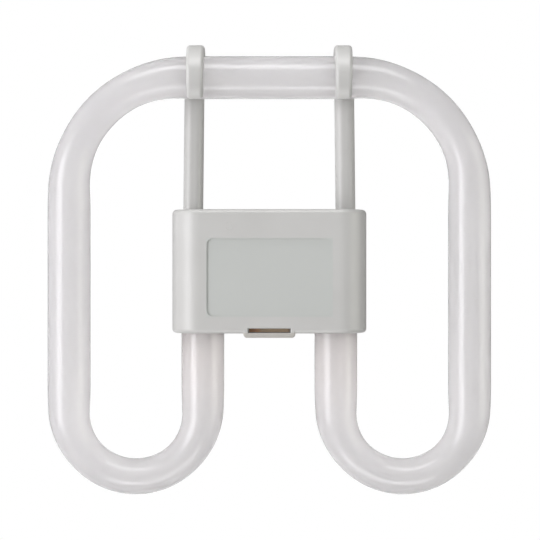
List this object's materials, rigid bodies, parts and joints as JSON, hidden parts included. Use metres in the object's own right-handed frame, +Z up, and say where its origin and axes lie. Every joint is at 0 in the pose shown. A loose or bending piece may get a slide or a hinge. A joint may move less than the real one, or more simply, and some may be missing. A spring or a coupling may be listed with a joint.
{
  "type": "square compact fluorescent lamp",
  "caption": "Square plug-in compact fluorescent lamp: a white glass tube bent into a looped square, held by a flat plastic cap with support arms, tube clips and contact pins behind.",
  "frame": {"origin": "middle of the four contact pins, on the boss face that they stand out of", "axes": "+X right and +Z up as seen from the front, with the clips at the top; the front faces -Y and the pins point along +Y"},
  "size_m": [0.138, 0.0279, 0.1397],
  "materials": {
    "phosphor_glass": "clear glass over a white phosphor coating, glossy and opaque",
    "cap_plastic": "satin light grey moulding",
    "pin_metal": "bright plated",
    "lead_metal": "dull wire",
    "cement": "dull set cement"
  },
  "bodies": {
    "root": {"discharge_tube": "phosphor_glass", "front_cover": "cap_plastic", "rear_base": "cap_plastic", "contact_pin_1": "pin_metal", "contact_pin_2": "pin_metal", "contact_pin_3": "pin_metal", "contact_pin_4": "pin_metal", "lead_wire_1": "lead_metal", "lead_wire_2": "lead_metal", "lead_wire_3": "lead_metal", "lead_wire_4": "lead_metal", "tube_cement_left": "cement", "tube_cement_right": "cement"}
  },
  "joints": []
}
